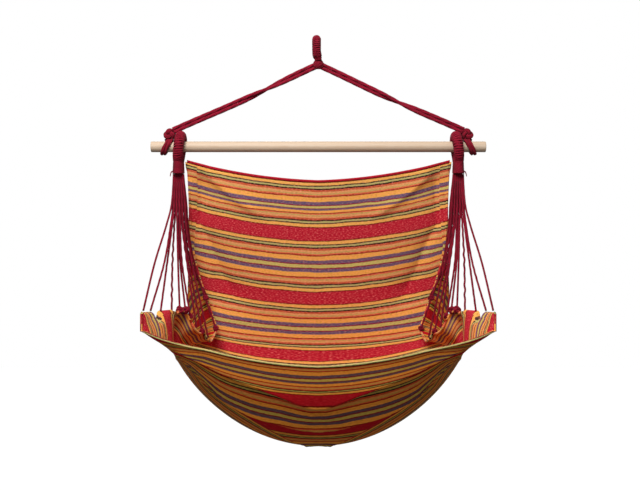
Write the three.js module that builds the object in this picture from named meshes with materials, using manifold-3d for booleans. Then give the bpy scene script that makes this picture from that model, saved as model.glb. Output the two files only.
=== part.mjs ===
// Hanging hammock chair: a striped cloth sling that hangs by fans of cords from a wooden spreader bar.
// Millimetres, +Z up, X along the bar, the sitter faces -Y. The origin is the point of the top eye that
// bears on the ceiling hook.
import * as THREE from "three";
import { mergeVertices } from "three/addons/utils/BufferGeometryUtils.js";
import Module from "manifold-3d";

const wasm = await Module();
wasm.setup();

// Clearances
const SEAT_GAP = 0.4; // between two pieces that touch
const TURN_GAP = 0.9; // between a core and the cord wound on it

// Spreader bar
const BAR_LENGTH = 1000;
const BAR_RADIUS = 16;
const BAR_CHAMFER = 2;
const BAR_DROP = 307; // hook to bar axis
const BAR_FACETS = 24;

// Top eye, a rope loop served with thin cord, upright across the bar
const EYE_ROPE_RADIUS = 8;
const EYE_LOOP_RADIUS = 26;
const EYE_STRAIGHT = 3; // upright stretch of each leg above the neck
const EYE_TURNS = 9;
const EYE_BARE_SHARE = 0.21; // of the rope, left unserved at each end

// Neck under the eye, where the ropes are bound together
const NECK_DROP = 61; // hook to the middle of the neck
const NECK_RADIUS = 15.5;
const NECK_CORE_RADIUS = 11;
const NECK_STUB_RADIUS = 5.5;
const NECK_BAND_ANGLE = Math.PI / 4; // from the pole to the rim of the whipping

// Suspension ropes, two strands to a side
const STRAND_RADIUS = 5.2;
const STRAND_TWISTS = 2; // half turns from neck to knot
const STRAND_SAG = 4;

// Hitch of each rope on the bar, outside the side loop
const HITCH_ROPE_RADIUS = 3.8;
const HITCH_TURNS = 2;
const HITCH_PITCH = 8.4;
const HITCH_SET = 10; // knot to hitch, along the bar
const KNOT_SET = 31; // side loop to knot, along the bar
const KNOT_RADIUS = 9;
const KNOT_ROPE_RADIUS = 4.5;
const KNOT_SPREAD_SHARE = 1.37; // widest reach of the knot's centre line, in knot radii

// Side loops, served rope over the bar, bound below it by a collar
const LOOP_INSET = 82; // bar end to side loop
const LOOP_ROPE_RADIUS = 10.2;
const LOOP_TURNS = 10;
const LOOP_BARE_SHARE = 0.3; // of the rope, left unserved at each end
const LOOP_SPREAD_SHARE = 0.72; // how far the legs have spread halfway from collar to bar
const SERVING_RADIUS = 2.3; // the thin cord wound on eye and loops
const COLLAR_DROP = 43; // bar axis to collar top
const COLLAR_HEIGHT = 38;
const COLLAR_HALF_WIDTH = 17.5;
const COLLAR_HALF_DEPTH = 29;
const COLLAR_ROUNDING = 2;
const TAIL_RADIUS = 1.6;
const TAIL_LENGTH = 13;

// Fan cords, from each collar to the side edge of the cloth
const FAN_CORD_RADIUS = 2.7;
const FAN_COLUMNS = 3;
const FAN_ROWS = 4;
const FAN_PITCH = 5.9;
const FAN_STRAIGHT = 6; // upright stretch under the collar
const FAN_BOW = 5; // how far a slack cord swings from its straight line
const FAN_KNOT_RADIUS = 4.6;

// Cloth, a single sheet
const CLOTH_THICKNESS = 3;
const CLOTH_TOP_DROP = 46; // bar axis to the top corners
const CLOTH_HEIGHT = 847; // top corners to the lowest point
const CLOTH_DEPTH = 425; // front lip to the rearmost point
const CLOTH_FLARE = 94; // how much wider than the top corner the front corner stands
const CLOTH_BELLY = 100; // measure of how far the cloth swells out beyond its side edge
const CLOTH_COLUMNS = 28;
const CLOTH_ROWS = 28;
const GATHER_DEPTH = 8;
const GATHER_COUNT = 4;
const TUCK_DEPTH = 7;

// Hems, round edges sewn along the cloth
const HEM_RADIUS = 3.4;
const HEM_SIDES = 6;

// Colours
const CRIMSON = 0x9c1838;
const BURGUNDY = 0x86142f;
const STRIPE = 0xd98a45;
const PINE = 0xe3cba6;

// Places that follow from the sizes
const barZ = -BAR_DROP;
const loopPlace = BAR_LENGTH / 2 - LOOP_INSET;
const servedReach = (ropeRadius) => ropeRadius + TURN_GAP + 2 * SERVING_RADIUS;
const eyeReach = servedReach(EYE_ROPE_RADIUS);
const loopReach = servedReach(LOOP_ROPE_RADIUS);
const eyeCentreZ = eyeReach - EYE_LOOP_RADIUS;
const neckZ = -NECK_DROP;
const collarTopZ = barZ - COLLAR_DROP;
const collarBottomZ = collarTopZ - COLLAR_HEIGHT;
const loopBend = BAR_RADIUS + SEAT_GAP + loopReach;
const loopTop = loopBend + loopReach;
const clothTopZ = barZ - CLOTH_TOP_DROP;
const clothTopHalf = loopPlace - COLLAR_HALF_WIDTH - 2 * HEM_RADIUS - 2 * SEAT_GAP;

const X = new THREE.Vector3(1, 0, 0);
const Y = new THREE.Vector3(0, 1, 0);
const Z = new THREE.Vector3(0, 0, 1);
const at = (x, y, z) => new THREE.Vector3(x, y, z);
const mix = (a, b, share) => a + (b - a) * share;

const chair = new THREE.Group();

// Adds a piece of the chair under its own name, with its own finish
function place(name, geometry, colour, roughness = 0.9, parent = chair) {
  const finish = new THREE.MeshStandardMaterial({ color: colour, roughness, metalness: 0 });
  const piece = new THREE.Mesh(geometry, finish);
  piece.name = name;
  parent.add(piece);
  return piece;
}

// Round section as a shape with a given number of sides
function roundSection(radius, sides) {
  const corners = [];
  for (let i = 0; i < sides; i += 1) {
    const turn = (2 * Math.PI * i) / sides;
    corners.push(new THREE.Vector2(radius * Math.cos(turn), radius * Math.sin(turn)));
  }
  return new THREE.Shape(corners);
}

// Rope along a curve, with flat ends
function rope(path, radius, steps, sides = 8) {
  path.arcLengthDivisions = 12 * steps;
  const settings = { steps, extrudePath: path, bevelEnabled: false };
  return new THREE.ExtrudeGeometry(roundSection(radius, sides), settings);
}

// Closed body from rings of points: neighbours are joined and both ends are capped. The sides between
// rings are split along the other diagonal where a piece mirrors its twin.
function loft(rings, mirroredFrom = rings.length) {
  const count = rings[0].length;
  const points = rings.flat().flatMap((p) => [p.x, p.y, p.z]);
  const faces = [];
  for (let r = 0; r < rings.length - 1; r += 1) {
    for (let i = 0; i < count; i += 1) {
      const a = r * count + i;
      const b = r * count + ((i + 1) % count);
      if (r >= mirroredFrom) faces.push(a, b, b + count, a, b + count, a + count);
      else faces.push(a, b, a + count, b, b + count, a + count);
    }
  }
  const last = (rings.length - 1) * count;
  for (let i = 1; i < count - 1; i += 1) {
    faces.push(0, i + 1, i);
    faces.push(last, last + i, last + i + 1);
  }
  const geometry = new THREE.BufferGeometry();
  geometry.setAttribute("position", new THREE.Float32BufferAttribute(points, 3));
  geometry.setIndex(faces);
  return geometry;
}

// Bodies that grow into one another, joined to one closed body
function solid(geometry) {
  const bare = geometry.clone();
  bare.deleteAttribute("normal");
  bare.deleteAttribute("uv");
  const merged = mergeVertices(bare);
  const vertProperties = new Float32Array(merged.attributes.position.array);
  const triVerts = new Uint32Array(merged.index.array);
  return new wasm.Manifold(new wasm.Mesh({ numProp: 3, vertProperties, triVerts }));
}

function join(first, second) {
  const mesh = solid(first).add(solid(second)).getMesh();
  const geometry = new THREE.BufferGeometry();
  geometry.setAttribute("position", new THREE.Float32BufferAttribute(mesh.vertProperties, 3));
  geometry.setIndex(Array.from(mesh.triVerts));
  return geometry;
}

// Route of a thin cord wound round a rope, between two shares of the rope's length
class Serving extends THREE.Curve {
  constructor(core, startShare, endShare, turns, reach) {
    super();
    Object.assign(this, { core, startShare, endShare, turns, reach });
  }

  getPoint(share) {
    const along = mix(this.startShare, this.endShare, share);
    const middle = this.core.getPointAt(along);
    const side = new THREE.Vector3().crossVectors(this.core.getTangentAt(along), X).normalize();
    const turn = 2 * Math.PI * this.turns * share;
    middle.addScaledVector(X, this.reach * Math.cos(turn));
    return middle.addScaledVector(side, this.reach * Math.sin(turn));
  }
}

// Route of a cord wound straight along the bar, ending on top of it
class BarTurns extends THREE.Curve {
  getPoint(share) {
    const turn = 2 * Math.PI * HITCH_TURNS * share;
    const reach = BAR_RADIUS + TURN_GAP + HITCH_ROPE_RADIUS;
    return at(HITCH_TURNS * HITCH_PITCH * (share - 0.5), reach * Math.sin(turn), reach * Math.cos(turn));
  }
}

// Least gap of a winding to itself, from points along it that are half a turn or more apart
function reportGap(name, path, turns, radius) {
  const perTurn = 24;
  const points = path.getPoints(turns * perTurn);
  let least = Infinity;
  for (let i = 0; i < points.length; i += 1) {
    for (let j = i + perTurn / 2; j < points.length; j += 1) {
      least = Math.min(least, points[i].distanceTo(points[j]) - 2 * radius);
    }
  }
  console.log(`${name}: least gap between its turns ${least.toFixed(2)} mm`);
}

const SERVING_STEPS = 12;
const SERVING_SIDES = 5;

function serve(name, core, bareShare, turns, ropeRadius, parent) {
  const reach = ropeRadius + TURN_GAP + SERVING_RADIUS;
  const path = new Serving(core, bareShare, 1 - bareShare, turns, reach);
  reportGap(name, path, turns, SERVING_RADIUS);
  place(name, rope(path, SERVING_RADIUS, turns * SERVING_STEPS, SERVING_SIDES), CRIMSON, 0.85, parent);
}

// Spreader bar: a round pine dowel with small chamfers
function makeBar() {
  const half = BAR_LENGTH / 2;
  const profile = [
    new THREE.Vector2(0, -half),
    new THREE.Vector2(BAR_RADIUS - BAR_CHAMFER, -half),
    new THREE.Vector2(BAR_RADIUS, BAR_CHAMFER - half),
    new THREE.Vector2(BAR_RADIUS, half - BAR_CHAMFER),
    new THREE.Vector2(BAR_RADIUS - BAR_CHAMFER, half),
    new THREE.Vector2(0, half),
  ];
  const bar = place("spreader_bar", new THREE.LatheGeometry(profile, BAR_FACETS), PINE, 0.55);
  bar.position.z = barZ;
  bar.rotation.z = Math.PI / 2;
}

// Top eye: a teardrop of rope in the YZ plane whose two legs end on the neck
function makeEye() {
  const outlineShares = [
    [0.6, -0.86],
    [0.88, -0.45],
    [1, 0],
    [0.87, 0.5],
    [0.5, 0.87],
  ];
  const legY = EYE_ROPE_RADIUS + SEAT_GAP;
  const legZ = neckZ + NECK_RADIUS + SEAT_GAP;
  const half = outlineShares.map(([y, z]) => at(0, y * EYE_LOOP_RADIUS, eyeCentreZ + z * EYE_LOOP_RADIUS));
  const left = [at(0, legY, legZ), at(0, legY, legZ + EYE_STRAIGHT), ...half];
  const right = left.map((p) => at(0, -p.y, p.z)).reverse();
  const path = new THREE.CatmullRomCurve3([...left, at(0, 0, eyeReach), ...right], false, "centripetal");
  place("top_eye_rope", rope(path, EYE_ROPE_RADIUS, 20), BURGUNDY);
  serve("top_eye_serving", path, EYE_BARE_SHARE, EYE_TURNS, EYE_ROPE_RADIUS);
}

// Neck: the bundle of strands inside, and the whipping bound round it. Both are round about the neck's
// middle, where the ropes bend and twist.
function makeNeck() {
  const facets = 14;
  const bundle = [new THREE.Vector2(0, -NECK_CORE_RADIUS)];
  const stubAngle = Math.asin(NECK_STUB_RADIUS / NECK_CORE_RADIUS);
  const rings = 7;
  for (let i = 1; i <= rings; i += 1) {
    const angle = Math.PI - mix(0, Math.PI - stubAngle, i / rings);
    bundle.push(new THREE.Vector2(NECK_CORE_RADIUS * Math.sin(angle), NECK_CORE_RADIUS * Math.cos(angle)));
  }
  bundle.push(new THREE.Vector2(NECK_STUB_RADIUS, NECK_RADIUS));
  bundle.push(new THREE.Vector2(0, NECK_RADIUS));

  const inner = NECK_CORE_RADIUS + SEAT_GAP;
  const band = [];
  const bandRings = 5;
  for (let i = 0; i <= bandRings; i += 1) {
    const angle = mix(Math.PI - NECK_BAND_ANGLE, NECK_BAND_ANGLE, i / bandRings);
    band.push(new THREE.Vector2(NECK_RADIUS * Math.sin(angle), NECK_RADIUS * Math.cos(angle)));
  }
  for (let i = 0; i <= bandRings; i += 1) {
    const angle = mix(NECK_BAND_ANGLE, Math.PI - NECK_BAND_ANGLE, i / bandRings);
    band.push(new THREE.Vector2(inner * Math.sin(angle), inner * Math.cos(angle)));
  }
  band.push(band[0].clone());

  const pieces = { neck_rope_bundle: bundle, neck_whipping: band };
  for (const [name, profile] of Object.entries(pieces)) {
    const piece = place(name, new THREE.LatheGeometry(profile, facets), CRIMSON);
    piece.position.z = neckZ;
    piece.rotation.x = Math.PI / 2;
  }
}

// Place of the hitch knot: on a line from the neck that just clears the top of the side loop
const knotReach = KNOT_SPREAD_SHARE * KNOT_RADIUS + KNOT_ROPE_RADIUS;
const knotPlace = loopPlace + KNOT_SET;
const loopFall = neckZ - barZ - loopBend;
const ropeClear = loopReach + STRAND_RADIUS + SEAT_GAP;
const ropeSlope = Math.atan2(loopFall, loopPlace) - Math.asin(ropeClear / Math.hypot(loopFall, loopPlace));
const knotZ = neckZ - knotPlace * Math.tan(ropeSlope);

// Route of a strand from neck to knot, winding lightly about its twin
class StrandRoute extends THREE.Curve {
  constructor(side, twin) {
    super();
    this.from = at(0, 0, neckZ);
    this.to = at(side * knotPlace, 0, knotZ);
    this.twin = twin;
  }

  getPoint(share) {
    const way = new THREE.Vector3().subVectors(this.to, this.from);
    const length = way.length();
    way.normalize();
    const start = NECK_RADIUS + SEAT_GAP;
    const end = length - knotReach - SEAT_GAP;
    const up = new THREE.Vector3().crossVectors(way, Y).normalize();
    const eased = share - Math.sin(2 * Math.PI * share) / (2 * Math.PI);
    const turn = Math.PI * STRAND_TWISTS * eased + Math.PI * this.twin;
    const apart = STRAND_RADIUS + SEAT_GAP;
    const point = this.from.clone().addScaledVector(way, mix(start, end, share));
    point.addScaledVector(Z, -STRAND_SAG * Math.sin(Math.PI * share) ** 2);
    point.addScaledVector(Y, apart * Math.cos(turn));
    return point.addScaledVector(up, apart * Math.sin(turn));
  }
}

// Suspension ropes, with the hitch and its knot that hold each to the bar
function makeSuspension(side, sideName) {
  for (const twin of [0, 1]) {
    const strand = rope(new StrandRoute(side, twin), STRAND_RADIUS, 16);
    place(`suspension_rope_${sideName}_${twin + 1}`, strand, CRIMSON);
  }
  const hitchPath = new BarTurns();
  reportGap(`hitch_${sideName}`, hitchPath, HITCH_TURNS, HITCH_ROPE_RADIUS);
  const hitch = place(`hitch_${sideName}`, rope(hitchPath, HITCH_ROPE_RADIUS, 18 * HITCH_TURNS, 6), BURGUNDY);
  hitch.position.set(side * (knotPlace + HITCH_SET), 0, barZ);

  const knotShape = new THREE.TorusKnotGeometry(KNOT_RADIUS, KNOT_ROPE_RADIUS, 32, 5, 2, 3);
  const knot = place(`hitch_knot_${sideName}`, knotShape, CRIMSON);
  knot.position.set(side * knotPlace, 0, knotZ);
  knot.rotation.set(Math.PI / 2, side > 0 ? Math.PI : 0, 0);
}

// Side loop: served rope over the bar, both legs bound in a collar
function makeSideLoop(side, sideName) {
  const group = new THREE.Group();
  group.position.x = side * loopPlace;
  chair.add(group);
  const legY = LOOP_ROPE_RADIUS + SEAT_GAP;
  const bend = [];
  const steps = 4;
  for (let i = 0; i <= steps; i += 1) {
    const angle = (Math.PI / 2) * (i / steps);
    bend.push(at(0, loopBend * Math.cos(angle), barZ + loopBend * Math.sin(angle)));
  }
  const half = [
    at(0, legY, collarBottomZ),
    at(0, legY, mix(collarBottomZ, collarTopZ, 0.5)),
    at(0, legY, collarTopZ),
    at(0, mix(legY, loopBend, LOOP_SPREAD_SHARE), mix(collarTopZ, barZ, 0.5)),
    ...bend,
  ];
  const back = half.slice(0, -1).map((p) => at(0, -p.y, p.z)).reverse();
  const path = new THREE.CatmullRomCurve3([...half, ...back], false, "centripetal");
  place(`side_loop_${sideName}`, rope(path, LOOP_ROPE_RADIUS, 28), BURGUNDY, 0.9, group);
  serve(`side_loop_serving_${sideName}`, path, LOOP_BARE_SHARE, LOOP_TURNS, LOOP_ROPE_RADIUS, group);

  const outline = new THREE.Shape();
  outline.absellipse(0, 0, COLLAR_HALF_WIDTH - COLLAR_ROUNDING, COLLAR_HALF_DEPTH - COLLAR_ROUNDING, 0, 2 * Math.PI);
  const bore = LOOP_ROPE_RADIUS + SEAT_GAP;
  const slot = new THREE.Path();
  slot.absarc(0, legY, bore + COLLAR_ROUNDING, 0, Math.PI);
  slot.absarc(0, -legY, bore + COLLAR_ROUNDING, Math.PI, 2 * Math.PI);
  outline.holes.push(slot);
  const collarShape = new THREE.ExtrudeGeometry(outline, {
    depth: COLLAR_HEIGHT - 2 * COLLAR_ROUNDING,
    curveSegments: 10,
    bevelThickness: COLLAR_ROUNDING,
    bevelSize: COLLAR_ROUNDING,
    bevelSegments: 1,
  });
  const collar = place(`collar_${sideName}`, collarShape, CRIMSON, 0.85, group);
  collar.position.z = collarBottomZ + COLLAR_ROUNDING;

  const tailStart = at(side * (COLLAR_HALF_WIDTH + SEAT_GAP), 0, mix(collarBottomZ, collarTopZ, 0.2));
  const tailEnd = tailStart.clone().add(at(side * TAIL_LENGTH * 0.5, 0, -TAIL_LENGTH));
  const tailMiddle = tailStart.clone().add(at(side * TAIL_LENGTH * 0.4, 0, 0));
  const tailPath = new THREE.QuadraticBezierCurve3(tailStart, tailMiddle, tailEnd);
  place(`whipping_tail_${sideName}`, rope(tailPath, TAIL_RADIUS, 4, 6), BURGUNDY, 0.95, group);
}

// The sheet's stations from top hem to front lip. Centre line and side edge are given as shares: back of
// the bar by the cloth's depth, down from the top corner by its height, and out from the top corner's
// width by the flare. Then comes how round the sheet hangs between edge and middle, and how far its belly
// stands out, back and down from the side edge, as shares of the full belly.
const stationShares = [
  [0.019, 0.071, 0, 0.014, 0, 0, 0, 0, 0],
  [0.087, 0.185, -0.01, 0.071, 0.117, 0.05, 0.01, 0, 0],
  [0.158, 0.303, -0.02, 0.122, 0.234, 0.1, 0.05, 0.04, 0],
  [0.228, 0.421, -0.14, 0.174, 0.351, 0.15, 0.17, 0.12, 0],
  [0.296, 0.54, -0.42, 0.212, 0.466, 0.25, 0.5, 0.22, -0.02],
  [0.36, 0.652, -0.74, 0.234, 0.572, 0.4, 0.78, 0.2, -0.14],
  [0.384, 0.746, -0.82, 0.2, 0.601, 0.6, 0.84, 0.16, -0.36],
  [0.36, 0.837, -0.74, 0.13, 0.622, 0.75, 0.84, 0.12, -0.5],
  [0.282, 0.917, -0.58, 0.056, 0.626, 0.85, 0.8, 0.08, -0.62],
  [0.171, 0.977, -0.38, -0.022, 0.6, 0.92, 0.7, 0.05, -0.72],
  [-0.003, 1, -0.11, -0.111, 0.549, 0.95, 0.47, 0.05, -0.87],
  [-0.186, 0.958, 0.18, -0.217, 0.52, 0.92, 0.14, 0.05, -1],
  [-0.358, 0.885, 0.49, -0.332, 0.516, 0.75, -0.2, 0.05, -0.98],
  [-0.504, 0.797, 0.76, -0.442, 0.516, 0.45, -0.2, 0.02, -0.77],
  [-0.616, 0.687, 1, -0.543, 0.516, 0.15, 0, 0, -0.34],
];
const stationCount = stationShares.length - 1;
const centreLine = new THREE.CatmullRomCurve3(
  stationShares.map(([back, down]) => at(0, back * CLOTH_DEPTH, clothTopZ - down * CLOTH_HEIGHT)),
  false,
  "catmullrom",
);
const sideEdge = new THREE.CatmullRomCurve3(
  stationShares.map(([, , out, back, down]) =>
    at(clothTopHalf + out * CLOTH_FLARE, back * CLOTH_DEPTH, clothTopZ - down * CLOTH_HEIGHT),
  ),
  false,
  "catmullrom",
);

const bellyLine = new THREE.CatmullRomCurve3(
  stationShares.map((shares) => at(...shares.slice(6)).multiplyScalar(CLOTH_BELLY)),
  false,
  "catmullrom",
);
const roundLine = new THREE.CatmullRomCurve3(
  stationShares.map((shares) => at(shares[5], 0, 0)),
  false,
  "catmullrom",
);

function smooth(low, high, value) {
  const share = Math.min(1, Math.max(0, (value - low) / (high - low)));
  return share * share * (3 - 2 * share);
}

const FINE_SHARE = 1e-3; // step along the sheet for its directions
const CREASE_SHARE = 0.2; // how much the sag has of a sharp V in the middle
const GATHER_START_SHARE = 0.42; // where down the sheet the side gathers begin
const TURN_IN_SHARE = 0.26; // part of the half width that turns in at most
const FULL_TURN_SHARE = 0.8; // how much of the full belly makes the cloth turn in that far

// Place on the sheet without its folds: across from -1 to 1, down from 0 at the top to 1 at the lip
function bareSheet(across, down) {
  const width = Math.abs(across);
  const centre = centreLine.getPoint(down);
  const edge = sideEdge.getPoint(down);
  const swell = bellyLine.getPoint(down);
  const belly = edge.clone().add(swell);
  const roundness = roundLine.getPoint(down).x;
  const turned = Math.min(1, Math.hypot(swell.x, swell.z) / (FULL_TURN_SHARE * CLOTH_BELLY));
  const turnStart = 1 - TURN_IN_SHARE * turned;
  const inner = Math.min(1, width / turnStart);
  const quarter = (Math.PI / 2) * inner;
  const out = mix(inner, Math.sin(quarter), roundness);
  const flat = mix(inner * inner, inner, CREASE_SHARE * (1 - roundness));
  const rise = mix(flat, 1 - Math.cos(quarter) ** 1.45, roundness);
  const beyond = turned > 0 ? (Math.PI / 2) * Math.max(0, (width - turnStart) / (1 - turnStart)) : 0;
  return at(
    Math.sign(across) * mix(belly.x * out, edge.x, 1 - Math.cos(beyond)),
    mix(centre.y, belly.y, inner * inner) - swell.y * Math.sin(beyond),
    mix(centre.z, belly.z, rise) - swell.z * Math.sin(beyond),
  );
}

function sheetNormal(across, down) {
  const sideways = bareSheet(across + FINE_SHARE, down).sub(bareSheet(across - FINE_SHARE, down));
  const low = Math.max(0, down - FINE_SHARE);
  const high = Math.min(1, down + FINE_SHARE);
  const along = bareSheet(across, high).sub(bareSheet(across, low));
  return sideways.cross(along).normalize();
}

// How far the folds stand off the bare sheet: side gathers, and two tucks that meet under the seat
function foldHeight(across, down) {
  const width = Math.abs(across);
  const nearEdge = smooth(0.5, 0.95, width);
  const seat = smooth(GATHER_START_SHARE, 0.55, down) * (1 - smooth(0.93, 1, down));
  const wave = Math.sin((2 * Math.PI * GATHER_COUNT * (down - GATHER_START_SHARE)) / (1 - GATHER_START_SHARE));
  const tuckLine = mix(0.83, 0.88, width);
  const tuck = Math.exp(-(((down - tuckLine) / 0.03) ** 2)) * smooth(0.02, 0.2, width);
  return GATHER_DEPTH * nearEdge * seat * wave + TUCK_DEPTH * tuck * (1 - nearEdge);
}

function sheet(across, down) {
  return bareSheet(across, down).addScaledVector(sheetNormal(across, down), foldHeight(across, down));
}

// Rows are closer together towards the front, where the sheet is gathered
const ROW_SHIFT_SHARE = 0.06;
const ROW_LEAN_SHARE = 0.3;
const rowShare = (row) => {
  const even = row / CLOTH_ROWS;
  return even + ROW_SHIFT_SHARE * Math.sin(Math.PI * even) * (1 + ROW_LEAN_SHARE * even);
};
// Columns are closer together towards the side edges, where the cloth turns in
const COLUMN_SHIFT_SHARE = 0.1;
const columnPlace = (column) => {
  const even = (2 * column) / CLOTH_COLUMNS - 1;
  return even + COLUMN_SHIFT_SHARE * Math.sin(Math.PI * even);
};

// Seat cloth: the sheet given its thickness, closed all round
function makeCloth() {
  const points = [];
  const faces = [];
  const width = CLOTH_COLUMNS + 1;
  const layer = width * (CLOTH_ROWS + 1);
  for (const face of [0.5, -0.5]) {
    for (let row = 0; row <= CLOTH_ROWS; row += 1) {
      for (let column = 0; column <= CLOTH_COLUMNS; column += 1) {
        const across = columnPlace(column);
        const normal = sheetNormal(across, rowShare(row));
        const point = sheet(across, rowShare(row)).addScaledVector(normal, face * CLOTH_THICKNESS);
        points.push(point.x, point.y, point.z);
      }
    }
  }
  const quad = (a, b, c, d) => faces.push(a, b, c, a, c, d);
  for (let row = 0; row < CLOTH_ROWS; row += 1) {
    for (let column = 0; column < CLOTH_COLUMNS; column += 1) {
      const a = row * width + column;
      const corners = [a, a + 1, a + width + 1, a + width];
      if (column >= CLOTH_COLUMNS / 2) corners.push(corners.shift()); // the right half mirrors the left
      const [p, q, r, s] = corners;
      quad(p, q, r, s);
      quad(layer + p, layer + s, layer + r, layer + q);
    }
  }
  for (let row = 0; row < CLOTH_ROWS; row += 1) {
    const first = row * width;
    const last = first + CLOTH_COLUMNS;
    quad(first, first + width, layer + first + width, layer + first);
    quad(last + width, last, layer + last, layer + last + width);
  }
  for (let column = 0; column < CLOTH_COLUMNS; column += 1) {
    const low = CLOTH_ROWS * width + column;
    quad(column + 1, column, layer + column, layer + column + 1);
    quad(low, low + 1, layer + low + 1, layer + low);
  }
  const geometry = new THREE.BufferGeometry();
  geometry.setAttribute("position", new THREE.Float32BufferAttribute(points, 3));
  geometry.setIndex(faces);
  place("seat_cloth", geometry, STRIPE);
}

const hemOffset = HEM_RADIUS + SEAT_GAP;

function sideHemMiddle(side, down) {
  const edge = sheet(side, down);
  const outward = edge.clone().sub(sheet(side * (1 - FINE_SHARE), down)).normalize();
  return { middle: edge.addScaledVector(outward, hemOffset), outward, normal: sheetNormal(side, down) };
}

function endHemMiddle(across, down) {
  const edge = sheet(across, down);
  const inside = sheet(across, down === 0 ? FINE_SHARE : 1 - FINE_SHARE);
  const outward = edge.clone().sub(inside).normalize();
  return { middle: edge.addScaledVector(outward, hemOffset), outward, normal: sheetNormal(across, down) };
}

function hemRing({ middle, outward, normal }) {
  const ring = [];
  for (let i = 0; i < HEM_SIDES; i += 1) {
    const turn = (2 * Math.PI * (i + 0.5)) / HEM_SIDES;
    const corner = middle.clone().addScaledVector(outward, HEM_RADIUS * Math.cos(turn));
    ring.push(corner.addScaledVector(normal, HEM_RADIUS * Math.sin(turn)));
  }
  return ring;
}

// Hems along the top, the front and both sides
function makeHems() {
  const columns = [...Array(CLOTH_COLUMNS + 1).keys()].map(columnPlace);
  const rows = [...Array(CLOTH_ROWS + 1).keys()].map(rowShare);
  const half = CLOTH_COLUMNS / 2;
  place("top_hem", loft(columns.map((across) => hemRing(endHemMiddle(across, 0))).reverse(), half), CRIMSON);
  place("front_hem", loft(columns.map((across) => hemRing(endHemMiddle(across, 1))), half), STRIPE);
  place("side_hem_left", loft(rows.map((down) => hemRing(sideHemMiddle(-1, down)))), STRIPE);
  place("side_hem_right", loft(rows.map((down) => hemRing(sideHemMiddle(1, down))).reverse(), 0), STRIPE);
}

// Where each fan cord meets the side hem, as shares down the sheet, front corner first; how far it bows, as
// a share of the full bow; and whether its end shows a knot
const fanCordShares = [
  { downShare: 0.99, slackShare: 0, knotted: false },
  { downShare: 0.936, slackShare: 0, knotted: false },
  { downShare: 0.88, slackShare: 0.4, knotted: false },
  { downShare: 0.81, slackShare: 0.8, knotted: false },
  { downShare: 0.775, slackShare: 0, knotted: false },
  { downShare: 0.742, slackShare: 0, knotted: true },
  { downShare: 0.708, slackShare: 0.3, knotted: true },
  { downShare: 0.664, slackShare: 0.9, knotted: false },
  { downShare: 0.62, slackShare: -0.6, knotted: true },
  { downShare: 0.335, slackShare: 0, knotted: false },
  { downShare: 0.56, slackShare: 0.5, knotted: false },
  { downShare: 0.44, slackShare: -0.5, knotted: true },
];

// Place and direction of the faceted side hem at a share down the sheet
function onSideHem(side, downShare) {
  let row = 0;
  while (rowShare(row + 1) < downShare) row += 1;
  const above = sideHemMiddle(side, rowShare(row)).middle;
  const below = sideHemMiddle(side, rowShare(row + 1)).middle;
  const share = (downShare - rowShare(row)) / (rowShare(row + 1) - rowShare(row));
  return { point: above.clone().lerp(below, share), direction: below.sub(above).normalize() };
}

function makeFan(side, sideName) {
  fanCordShares.forEach(({ downShare, slackShare, knotted }, i) => {
    const column = (i % FAN_COLUMNS) - (FAN_COLUMNS - 1) / 2;
    const row = Math.floor(i / FAN_COLUMNS) - (FAN_ROWS - 1) / 2;
    const startX = side * (loopPlace - column * FAN_PITCH);
    const start = at(startX, row * FAN_PITCH, collarBottomZ - SEAT_GAP);
    const below = start.clone().addScaledVector(Z, -FAN_STRAIGHT);
    const hem = onSideHem(side, downShare);
    const way = hem.point.clone().sub(below).normalize();
    const slant = way.dot(hem.direction);
    const endReach = knotted ? FAN_KNOT_RADIUS : FAN_CORD_RADIUS * Math.abs(slant);
    const back = (HEM_RADIUS + SEAT_GAP + endReach) / Math.sqrt(1 - slant * slant);
    const end = hem.point.clone().addScaledVector(way, -back);
    const route = [start, below];
    const bends = 3;
    for (let k = 1; k < bends; k += 1) {
      const point = below.clone().lerp(end, k / bends);
      const swing = FAN_BOW * slackShare * (k % 2 === 0 ? -1 : 1) * (k / bends);
      route.push(point.addScaledVector(Y, swing));
    }
    route.push(end);
    const path = new THREE.CatmullRomCurve3(route, false, "centripetal");
    let cord = rope(path, FAN_CORD_RADIUS, 8);
    if (knotted) {
      const knot = new THREE.SphereGeometry(FAN_KNOT_RADIUS, 6, 4);
      knot.translate(end.x, end.y, end.z);
      cord = join(cord, knot);
    }
    place(`fan_cord_${sideName}_${i + 1}`, cord, CRIMSON);
  });
}

makeBar();
makeEye();
makeNeck();
for (const [side, sideName] of [
  [-1, "left"],
  [1, "right"],
]) {
  makeSuspension(side, sideName);
  makeSideLoop(side, sideName);
  makeFan(side, sideName);
}
makeCloth();
makeHems();

export default chair;
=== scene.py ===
import math

import bmesh
import bpy
import numpy as np
from mathutils import Matrix, Vector


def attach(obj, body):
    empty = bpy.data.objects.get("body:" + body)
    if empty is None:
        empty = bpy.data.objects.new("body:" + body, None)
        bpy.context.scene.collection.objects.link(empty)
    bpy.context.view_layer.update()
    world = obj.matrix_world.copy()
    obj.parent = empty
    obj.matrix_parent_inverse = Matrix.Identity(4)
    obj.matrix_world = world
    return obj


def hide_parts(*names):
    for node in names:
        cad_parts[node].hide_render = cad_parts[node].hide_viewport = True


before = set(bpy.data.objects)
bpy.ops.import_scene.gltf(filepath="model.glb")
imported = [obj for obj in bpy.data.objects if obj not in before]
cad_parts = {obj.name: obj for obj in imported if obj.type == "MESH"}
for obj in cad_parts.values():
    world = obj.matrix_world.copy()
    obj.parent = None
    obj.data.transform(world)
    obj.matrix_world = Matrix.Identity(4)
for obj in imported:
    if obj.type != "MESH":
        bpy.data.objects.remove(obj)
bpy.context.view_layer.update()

# Camera: it stands 3 m in front of the bar, level with the middle of the backrest, and looks straight
# at the chair. 640 pixels are 1.9136 m wide at the bar.
CAMERA_DISTANCE = 3.0
CAMERA_HEIGHT = -0.602
CAMERA_SIDE = 0.0048
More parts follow.
